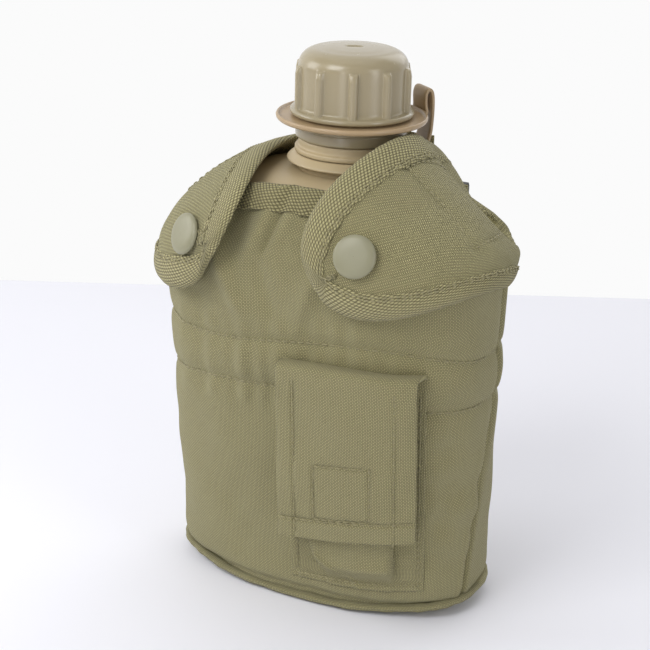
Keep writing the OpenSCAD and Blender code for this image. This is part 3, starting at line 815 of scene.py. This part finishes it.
def panel_grid(front, rows, cols):
    """Points of the front or back panel, with more rows close to the base."""
    low = np.linspace(0, 0.12, rows // 8, endpoint=False)
    h = np.concatenate([low, np.linspace(0.12, 2, rows - len(low))])
    s, h = np.meshgrid(np.linspace(0, 1, cols), h)
    right = side_seam(panel_height(h))
    if front:
        t = -np.pi - right + (np.pi + 2 * right) * s
        top, span = front_top, 170
    else:
        t = right + (np.pi - 2 * right) * s
        top, span = back_top, 200
    flat = wall(t, h, 0.0, top)
    return wall(t, h, relief(flat[..., 0], flat[..., 2], front, np.minimum(s, 1 - s) * span), top)


def make_cover():
    for name, node, front in (("front_panel", "cover_front", True), ("back_panel", "cover_back", False)):
        points = panel_grid(front, 190, 260)
        panel = grid_object(name, points, FABRIC, cloth_uv(points), thick=WALL)
        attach(panel, "root")
        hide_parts(node)
        thread_runs(name, front)

    t = full_turn(180)
    k = np.linspace(0.02, 1, 30)
    edge = section(CLOTH_BASE, t, -0.3)
    points = edge[None] * k[:, None, None]
    points[..., 1] += (1 - k)[:, None] * centre_y(CLOTH_BASE)
    points[..., 2] = 0.05 + 0.5 * ridge(k, 0.97, 0.03)[:, None]
    uv = np.concatenate([points, points[:, :1]], 1)[..., :2]
    bottom = grid_object("bottom_panel", points, FABRIC, uv, wrap_cols=True, thick=1.3)
    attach(bottom, "root")
    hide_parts("cover_bottom")

    t = full_turn(360)
    pipe_z = 2.15 + 4.6 * np.abs(np.cos(t)) ** 1.5 + 0.15 * np.sin(3 * t)
    centre = section(pipe_z, t, 1.9 - 0.9 * np.abs(np.cos(t)) + 0.2 * np.sin(9 * t + 1))
    out = section(pipe_z, t, 2.0) - section(pipe_z, t, 0.0)
    out[:, 2] = 0
    out = unit(out)
    a = full_turn(16)
    fat = 1.85 + 0.12 * np.sin(23 * t) + 0.08 * np.sin(41 * t)
    points = centre[:, None] + fat[:, None, None] * (
        np.cos(a)[:, None] * out[:, None] + np.sin(a)[:, None] * np.array([0, 0, 1.0]))
    pipe = grid_object("bottom_pipe", points, FABRIC, cloth_uv(points, True), wrap_rows=True, wrap_cols=True)
    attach(pipe, "root")
    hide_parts("bottom_piping")

    t, z = np.meshgrid(full_turn(220), np.linspace(6, 134, 110))
    tuft = 0.5 * soft_noise(60 * t, z, 5, 31) + 0.3 * soft_noise(60 * t, z, 2.6, 32)
    points = section(z, t, -2.6)
    inner = section(z, t, -3.7 + 0.25 * tuft)[::-1]
    lining = grid_object("pile_lining", np.concatenate([points, inner]), PILE, wrap_cols=True, wrap_rows=True)
    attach(lining, "root")
    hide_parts("cover_lining")


def thread_runs(name, front):
    """The two rows of stitches that run across a panel."""
    t = np.linspace(-np.pi + 0.1, -0.1, 240) if front else np.linspace(0.15, np.pi - 0.15, 240)
    lines = []
    for k in (0, 1):
        z = np.full_like(t, 100.0)
        for _ in range(3):  # the seam's height depends on x, and x on the height
            x = section(z, t, 0)[:, 0]
            z = quilt_lines(x, front)[k]
        off = relief(x, z, front, np.full_like(x, 99.0)) + 0.25
        line = section(z, t, off)
        lines.append((line, section(z, t, off + 1) - line))
    stitches(name + "_stitches", lines, "root", pitch=3.3, length=2.5, radius=0.36, wobble=0.06)


# -------- tape folded over an edge

TAPE_WIDTH = 12.0
REACH = np.linspace(0, 0.45, 60)
TAPE_FACE = ((1.0, 0.1), (0.985, 0.42), (0.95, 0.62), (0.9, 0.55), (0.84, 0.42), (0.78, 0.5), (0.65, 0.75),
             (0.5, 0.85), (0.35, 0.85), (0.2, 0.7), (0.1, 0.45))


def with_normals(shape, side):
    """Turns a function that gives points for (u, v) into one that also gives normals."""
    e = 0.01

    def surface(uv):
        du = shape(uv + [e, 0]) - shape(uv - [e, 0])
        dv = shape(uv + [0, e]) - shape(uv - [0, e])
        return shape(uv), unit(np.cross(du, dv) * side)
    return surface


def inward_runs(surface, edge, inward):
    """Points in from each point of an edge, and how far in from it they lie."""
    points, _ = surface(edge[:, None] + inward[:, None] * REACH[None, :, None])
    steps = np.linalg.norm(np.diff(points, axis=1), axis=2)
    return points, np.pad(np.cumsum(steps, 1), ((0, 0), (1, 0)))


def at_reach(surface, edge, inward, runs, reach):
    """Points and normals on a surface, reach mm in from each point of an edge."""
    far = np.array([np.interp(r, run, REACH) for r, run in zip(reach, runs)])
    return surface(edge + inward * far[:, None])


def edge_tape(name, surface, edge, inward, half, material=BINDING, width=TAPE_WIDTH, seed=1):
    """Binding tape folded round an edge; edge and inward are rows of (u, v) for surface."""
    points, runs = inward_runs(surface, edge, inward)
    length = lengths(points[:, 0])
    out = unit(points[:, 0] - points[:, 1])
    wave = 0.28 * soft_noise(length, 0 * length, 6, seed, 6)
    pucker = 0.20 * np.sin(2 * np.pi * length / 3.2 + wave * 4)
    face = [(d, half + h) for d, h in TAPE_FACE] + [(0.03, half * 0.75), (-0.02, half * 0.3)]
    rows = []
    for d, h in face + [(d, -h) for d, h in face[::-1]]:
        near = np.clip(d, 0, 1) ** 2
        p, n = at_reach(surface, edge, inward, runs, np.clip(d * (width + wave * near), 0, None))
        lift = h + np.sign(h) * (0.15 * wave * (1 - near) + pucker * ridge(d, 0.86, 0.12))
        fold = max(0, -d) * width + 0.55 * (1 - abs(h) / (half + 0.85)) * (d < 0.12)
        rows.append(p + n * lift[:, None] + out * fold)
    grid = np.array(rows).transpose(1, 0, 2)
    tall = np.concatenate([[0], np.cumsum(np.linalg.norm(np.diff(grid, axis=1), axis=2).mean(0))])
    uv = np.stack(np.meshgrid(tall, length), -1)[..., ::-1]
    made = grid_object(name, grid, material, uv)
    return made


# -------- flaps

RIGHT_NET = np.array([
    [[25.5, 6, 184], [39.5, 4, 170], [55, 2, 157.5], [69.5, 0, 149]],
    [[22, -24, 186], [42, -23, 174], [60, -17, 162], [72, -6, 147.5]],
    [[9, -47, 168], [40, -48, 157], [63, -34, 153], [73, -13, 144.5]],
    [[11, -54, 141], [33, -52, 131], [58, -45, 138], [72, -20, 140.5]]], float)
LEFT_NET = np.array([
    [[-27, 11, 177], [-41, 7, 169], [-54, 3, 161], [-66, -1, 150]],
    [[-27, -17, 176.5], [-44, -16, 170], [-56.5, -13, 160.5], [-67.6, -7, 147.5]],
    [[-22, -47, 168.5], [-43.5, -42, 159.5], [-60.2, -31.8, 150.5], [-69.2, -17, 141.5]],
    [[-33, -54, 139], [-43, -51, 130], [-55.6, -46, 128], [-65.6, -33, 132.6]]], float)
FLAP_HALF = 1.1
CORNER = 0.13
FLAP_SPAN = 60
SNAP_UV = {"right": (0.74, 0.21), "left": (0.81, 0.33)}


def cubic(t):
    return np.stack([(1 - 3 * t) * (2 - 3 * t) * (1 - t) / 2, 9 * t * (2 - 3 * t) * (1 - t) / 2,
                     9 * t * (3 * t - 1) * (1 - t) / 2, t * (3 * t - 1) * (3 * t - 2) / 2], -1)


def patch(net, uv):
    return np.einsum("...r,...c,rci->...i", cubic(uv[..., 0]), cubic(uv[..., 1]), net)


def edge_path():
    """(u, v) along a flap's neck edge, round its corner and along its lower edge, with the way inward."""
    u = np.linspace(0, 1 - CORNER, 100)
    a = np.linspace(0, np.pi / 2, 40)[1:-1]
    v = np.linspace(CORNER, 1, 100)
    edge = np.concatenate([
        np.stack([u, 0 * u], -1),
        np.stack([1 - CORNER + CORNER * np.sin(a), CORNER - CORNER * np.cos(a)], -1),
        np.stack([1 + 0 * v, v], -1)])
    inward = np.concatenate([
        np.tile([0.0, 1.0], (len(u), 1)),
        np.stack([-np.sin(a), np.cos(a)], -1),
        np.tile([-1.0, 0.0], (len(v), 1))])
    return edge, inward


FLAP_SEAMS = {
    "right": [[(0.06, 0.30), (0.20, 0.22), (0.317, 0.18)],
              [(0.317, 0.18), (0.348, 0.32), (0.421, 0.508), (0.582, 0.676)],
              [(0.582, 0.676), (0.50, 0.73), (0.405, 0.778), (0.2, 0.84)]],
    "left": [[(0.25, 0.2), (0.35, 0.42), (0.5, 0.62)],
             [(0.5, 0.62), (0.35, 0.75), (0.2, 0.84)]]}


def make_flap(side_name, net, side):
    surface = with_normals(lambda uv: patch(net, uv), side)
    body = side_name + "_flap"
    v, u = np.meshgrid(np.linspace(0.02, 1, 110), np.linspace(-0.035, 0.985, 110))
    cut = np.clip(u - (1 - CORNER), 0, 1)
    first = CORNER - np.sqrt(np.maximum(CORNER ** 2 - cut ** 2, 0)) + 0.02
    v = first + (1 - first) * (v - 0.02) / 0.98
    uv = np.stack([u, v], -1)
    p, n = surface(uv)
    puff = 0.35 * soft_noise(FLAP_SPAN * u, FLAP_SPAN * v, 30, 41 + side)
    puff += 0.12 * soft_noise(FLAP_SPAN * u, FLAP_SPAN * v, 11, 43 + side)
    puff -= 0.5 * ridge(np.linalg.norm(uv - SNAP_UV[side_name], axis=-1) * FLAP_SPAN, 0, 9)
    for seam in FLAP_SEAMS[side_name]:
        away = np.linalg.norm(uv[:, :, None] - smooth_line(seam, 60), axis=-1).min(-1) * FLAP_SPAN
        puff -= 0.45 * ridge(away, 0, 1.4)
    p = p + n * (FLAP_HALF + puff * smoothstep(u / 0.1))[..., None]
    panel = grid_object("flap_cloth_" + side_name, p, FABRIC, cloth_uv(p), thick=2 * FLAP_HALF)
    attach(panel, body)
    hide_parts("flap_" + side_name)

    edge, inward = edge_path()
    tape = edge_tape("flap_tape_" + side_name, surface, edge, inward, FLAP_HALF, seed=51 + side)
    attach(tape, body)
    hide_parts("flap_" + side_name + "_binding")

    lines = []
    for seam in FLAP_SEAMS[side_name]:
        p, n = surface(smooth_line(seam, 90))
        lines.append((p + n * (FLAP_HALF - 0.15), n))
    stitches("flap_seam_" + side_name, lines, body, pitch=3.0, length=2.2, radius=0.32, wobble=0.1)
    _, runs = inward_runs(surface, edge, inward)
    lines = []
    for fraction in (0.80, 0.90):
        p, n = at_reach(surface, edge, inward, runs, np.full(len(edge), TAPE_WIDTH * fraction))
        lines.append((p + n * (FLAP_HALF + 0.52), n))
    stitches("tape_thread_" + side_name, lines, body, pitch=2.3, length=1.7, radius=0.3, wobble=0.25)
    make_shoulder(side_name, net, side)
    make_snap(side_name, surface)


def make_shoulder(side_name, net, side):
    """The cloth that runs from the top of the back panel over to the flap."""
    def strip(ab):
        a, b = ab[..., 0], ab[..., 1]
        t = np.radians(76 - 70 * b) if side > 0 else np.radians(104 + 70 * b)
        start = back_top(t)
        hinge = np.stack([0 * b, b], -1)
        end = patch(net, hinge)
        gap = np.linalg.norm(end - start, axis=-1, keepdims=True)
        lean = gap * [0, 0, 0.7]
        slope = unit(patch(net, hinge + [0.02, 0]) - end) * gap * 0.5
        w = a[..., None]
        return ((2 * w ** 3 - 3 * w ** 2 + 1) * start + (w ** 3 - 2 * w ** 2 + w) * lean
                + (-2 * w ** 3 + 3 * w ** 2) * end + (w ** 3 - w ** 2) * slope)

    surface = with_normals(strip, side)
    b, a = np.meshgrid(np.linspace(0.0, 0.98, 90), np.linspace(0, 1.0, 40))
    p, n = surface(np.stack([a, b], -1))
    lift = FLAP_HALF + 0.3 * soft_noise(30 * a, 60 * b, 16, 61 + side) * smoothstep((1 - a) / 0.2)
    lift = lift - 1.0 * ridge(a, 0.06, 0.05) - 0.5 * smoothstep((a - 0.7) / 0.3)
    p = p + n * lift[..., None]
    cloth = grid_object("shoulder_" + side_name, p, FABRIC, cloth_uv(p), thick=2 * FLAP_HALF)
    start, end = p[4, 45] * MM, p[-1, 45] * MM
    tuple(start)
    tuple(end)
    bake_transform(cloth)

    a = np.linspace(0.0, 1.0, 60)
    edge = np.stack([a, 0 * a], -1)
    tape = edge_tape("shoulder_tape_" + side_name, surface, edge, np.tile([0.0, 1.0], (60, 1)), FLAP_HALF,
                     seed=71 + side)
    tuple(start)
    tuple(end)
    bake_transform(tape)


def make_snap(side_name, surface):
    p, n = surface(np.array(SNAP_UV[side_name]))
    place = Matrix.Translation(Vector(p * MM)) @ Vector(n).to_track_quat("Z", "Y").to_matrix().to_4x4()
    profile = [(2.0, 0.9), (7.3, 1.35), (7.8, 1.6), (8.0, 2.1), (7.85, 2.7), (7.4, 3.15), (6.6, 3.5), (5.2, 3.8),
               (3.2, 3.95), (0.1, 4.0)]
    cap = lathe("snap_face_" + side_name, dense(rounded(profile, 2), 0.4), SNAP_PAINT, 96)
    cap.data.transform(place)
    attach(cap, side_name + "_flap")
    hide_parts("snap_" + side_name + "_cap")


# -------- mouth binding

def make_mouth():
    def surface(ab):
        """u runs down from the mouth's edge, v along it."""
        t = np.radians(-121 + 62 * ab[..., 1])
        h = 2 - np.clip(ab[..., 0], -1, 1)
        p = wall(t, h, 0.0, front_top)
        crease = mouth_crease(p[..., 0], p[..., 2])
        off = -1.0 * ridge(crease, 0, 1.6) + 0.8 * ridge(crease, -6, 5) - 0.8 * ridge(crease, -16, 5)
        q = wall(t, h, off + 1, front_top)
        return wall(t, h, off + 0.4, front_top), unit(q - wall(t, h, off, front_top))

    v = np.linspace(0, 1, 110)
    edge = np.stack([np.full_like(v, 0.01), v], -1)
    inward = np.tile([1.0, 0.0], (len(v), 1))
    # the mouth tape gets the darker binding, a painted shadow of the cap
    tape = edge_tape("mouth_tape", surface, edge, inward, 0.9, BINDING_PAINTED_SHADOW, 9.5, 81)
    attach(tape, "root")
    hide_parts("mouth_binding")


# -------- pocket

POCKET_X = (-1.0, 52.0)
POCKET_Z = (12.2, 102.0)
LID_X = (-2.0, 52.0)
LID_LOW = 37.8
SQUARE = (13.3, 35.5, 45.9, 68.9)
SQUARE_TILT = 0.11
LID_THREAD_OFF = 9.95


def seam_low(x):
    """Height of the seam along the pocket's lower edge."""
    return 14.6 + 0.068 * x


def hem_line(x):
    """Height of the seam along the lid's lower edge."""
    return 43.4 + 0.115 * x


def front_patch(x, z, off):
    """Points that stand off the front of the cover by off, measured along Y."""
    return np.stack([x, front_y(x, z) - off, z], -1)


def make_pocket():
    x = np.concatenate([np.linspace(*part) for part in (
        (POCKET_X[0], 4, 12), (4.3, 12, 42), (12.4, 32, 40), (32.3, 41, 46), (41.5, POCKET_X[1], 18))])
    x, rows = np.meshgrid(x, np.linspace(0, 1, 130))
    z = POCKET_Z[0] + 0.045 * x + (POCKET_Z[1] - POCKET_Z[0] - 2) * rows
    left = 9.0 + 5.5 * np.clip((33.7 - z) / 14, 0, 1)
    right = 40.6 + 1.2 * np.clip((36 - z) / 16, 0, 1)
    seam = seam_low(x)
    rise = smoothstep((x - left) / 1.1) * smoothstep((right - x) / 0.9)
    flat_low = smoothstep((z - seam - 0.5) / 8)
    height = 1.1 + 5.6 * rise * (0.15 + 0.85 * flat_low) + 0.45 * rise * flat_low * soft_noise(x, z, 17, 91)
    height = height - 0.5 * ridge(z, seam, 0.9) - 0.35 * ridge(x, 2, 0.7) - 0.35 * ridge(x, 50, 0.7)
    slant = (x - left) - (29 - z) * 0.9
    height += 0.7 * ridge(slant, 0, 1.2) * smoothstep((32 - z) / 4) * rise
    tuck = 1.6 * rise * (1 - rise) * 4 * flat_low
    x_in = x + np.where(x < 22, 1, -1) * -tuck
    points = front_patch(x_in, z, height)
    cloth = grid_object("pocket_cloth", points, FABRIC_POCKET, cloth_uv(points), thick=0.9)
    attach(cloth, "root")
    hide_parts("pocket_body")

    def run(x_line, z_line, off):
        line = front_patch(x_line, z_line, off)
        n = np.tile([0.0, -1.0, 0.0], (len(line), 1))
        n[:, 0] = 0.012 * x_line
        return line, unit(n)

    up = np.linspace(16, 99, 60)
    low_x = np.linspace(2, 50, 60)
    low_off = 1.75 + 0.6 * smoothstep((low_x - 14) / 2) * smoothstep((42 - low_x) / 2)
    lines = [run(low_x, seam_low(low_x), low_off)]
    lines += [run(np.full(60, seam_x), up, 1.1) for seam_x in (2.0, 50.0)]
    stitches("pocket_stitches", lines, "root", pitch=2.9, length=2.1, radius=0.31, wobble=0.08)

    for name, node, off, body in (("loop_square", "pocket_loop_tape", 7.1, "root"),
                                  ("hook_square", "pocket_hook_tape", 8.2, "pocket_lid")):
        gx, gz = np.meshgrid(np.linspace(12.2, 37.8, 40), np.linspace(45.2, 68.8, 40))
        points = front_patch(gx, gz, off + 0.55 + 0.1 * soft_noise(gx, gz, 1.6, 95))
        square = grid_object(name, points, TAPE_HOOK, cloth_uv(points), thick=0.6)
        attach(square, body)
        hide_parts(node)
    make_lid(run)


def make_lid(run):
    """The pocket's lid: a doubled cloth sewn to the cover at its top and folded over."""
    route = smooth_line([(107.6, 0.9), (108.6, 1.6), (109.2, 4.6), (108.9, 7.8), (106.4, 9.6), (92, 10.2),
                         (77, 10.1), (62, 10.2), (49, 10.1), (LID_LOW, 9.9)], 150)
    x, z = np.meshgrid(np.linspace(*LID_X, 110), route[:, 0])
    off = np.repeat(route[:, 1:], x.shape[1], 1)
    edge = np.minimum(x - LID_X[0], LID_X[1] - x)
    z = z + 0.085 * (x - 25) * np.clip((98 - z) / (98 - LID_LOW), 0, 1) + 0.02 * (x - 25)
    off += 0.25 * soft_noise(x, z, 26, 101) * smoothstep((off - 6) / 3)
    off = off - 0.55 * ridge(edge, 7.2, 0.8) * smoothstep((104 - z) / 4) - 0.25 * ridge(edge, 0, 1.0)
    off = off - 0.55 * ridge(z, hem_line(x), 0.8) + 0.2 * smoothstep((hem_line(x) - z) / 1.5)
    x0, x1, z0, z1 = SQUARE
    tilt = SQUARE_TILT * (x - x0)
    square = np.maximum(np.abs(x - (x0 + x1) / 2) - (x1 - x0) / 2,
                        np.abs(z - tilt - (z0 + z1) / 2) - (z1 - z0) / 2)
    off -= 0.5 * ridge(square, 0, 0.75)
    points = front_patch(x, z, off)
    points[..., 2] += 0.35 * np.sin(x / 9.0) * smoothstep((z - 83) / 20)
    lid = grid_object("lid_cloth", points, FABRIC_POCKET, cloth_uv(points), thick=1.5)
    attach(lid, "pocket_lid")
    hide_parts("pocket_flap")

    down = np.linspace(104, 39.5, 70)
    hem_x = np.linspace(LID_X[0] + 1, LID_X[1] - 1, 70)
    lines = [run(np.full(70, seam_x), down, LID_THREAD_OFF) for seam_x in (LID_X[0] + 7.2, LID_X[1] - 7.6)]
    lines.append(run(hem_x, hem_line(hem_x), LID_THREAD_OFF))
    for xa, za, xb, zb in ((x0, z1, x1, z1), (x0, z0, x1, z0), (x0, z0, x0, z1), (x1, z0, x1, z1)):
        xs, zs = np.linspace(xa, xb, 40), np.linspace(za, zb, 40)
        lines.append(run(xs, zs + SQUARE_TILT * (xs - x0), LID_THREAD_OFF))
    stitches("lid_stitches", lines, "pocket_lid", pitch=3.0, length=2.2, radius=0.31, wobble=0.08)


# -------- belt keepers

KEEPER_X = 24.5
WEB_Z = (70.0, 160.5)
WEB_BACK = 31.3
LOOPS = (80.0, 134.0)
LOOP_TALL = 24.0


def make_keepers():
    for side_name, x in (("left", -KEEPER_X), ("right", KEEPER_X)):
        strips = [("strip", [(WEB_BACK - 0.8, z) for z in np.linspace(*WEB_Z, 60)])]
        for k, low in enumerate(LOOPS):
            out = WEB_BACK + 3.7
            strips.append(("loop%d" % (k + 1), [
                (WEB_BACK, low - 2), (WEB_BACK + 0.6, low), (out - 0.6, low + 5), (out, low + 8),
                (out, low + LOOP_TALL - 8), (out - 0.6, low + LOOP_TALL - 5),
                (WEB_BACK + 0.6, low + LOOP_TALL + 1), (WEB_BACK, low + LOOP_TALL + 3)]))
        for part, path in strips:
            line = np.insert(smooth_line(path, 80), 0, x, axis=1)
            across = np.tile([1.0, 0, 0], (80, 1))
            lift = np.cross(across, unit(np.gradient(line, axis=0)))
            web = ribbon("web_%s_%s" % (side_name, part), line, across, lift, 12.4, 0.8, WEBBING, 8, 36)
            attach(web, "root")
            if part == "strip":
                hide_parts("keeper_%s_webbing" % side_name)


def make_tab():
    """A folded end of cloth that stands up at the top of the back panel."""
    z = smooth_line([(163.2, 28.9), (172, 28.9), (179.2, 28.95), (179.9, 29.2), (179.2, 29.6), (172, 29.65),
                     (163.2, 29.65)], 70)
    x = np.linspace(4.7, 22.4, 40)
    x, height = np.meshgrid(x, z[:, 0])
    y = np.repeat(z[:, 1:], x.shape[1], 1)
    points = np.stack([x, y, height + 0.35 * np.sin(x / 4.0) * smoothstep((height - 174) / 5)], -1)
    tab = grid_object("tab_cloth", points, FABRIC, cloth_uv(points), thick=0.45)
    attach(tab, "root")
    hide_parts("back_tab")


CAD_MATERIALS = {"snap": SNAP_PAINT, "keeper": STEEL}


def dress_cad():
    for name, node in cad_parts.items():
        for start, material in CAD_MATERIALS.items():
            if name.startswith(start):
                node.data.materials.clear()
                node.data.materials.append(material)


# -------- the whole scene

make_camera()
make_studio()
make_floor()
make_bottle()
make_cap()
make_strap()
make_cover()
make_mouth()
make_flap("right", RIGHT_NET, 1)
make_flap("left", LEFT_NET, -1)
make_pocket()
make_keepers()
make_tab()
dress_cad()
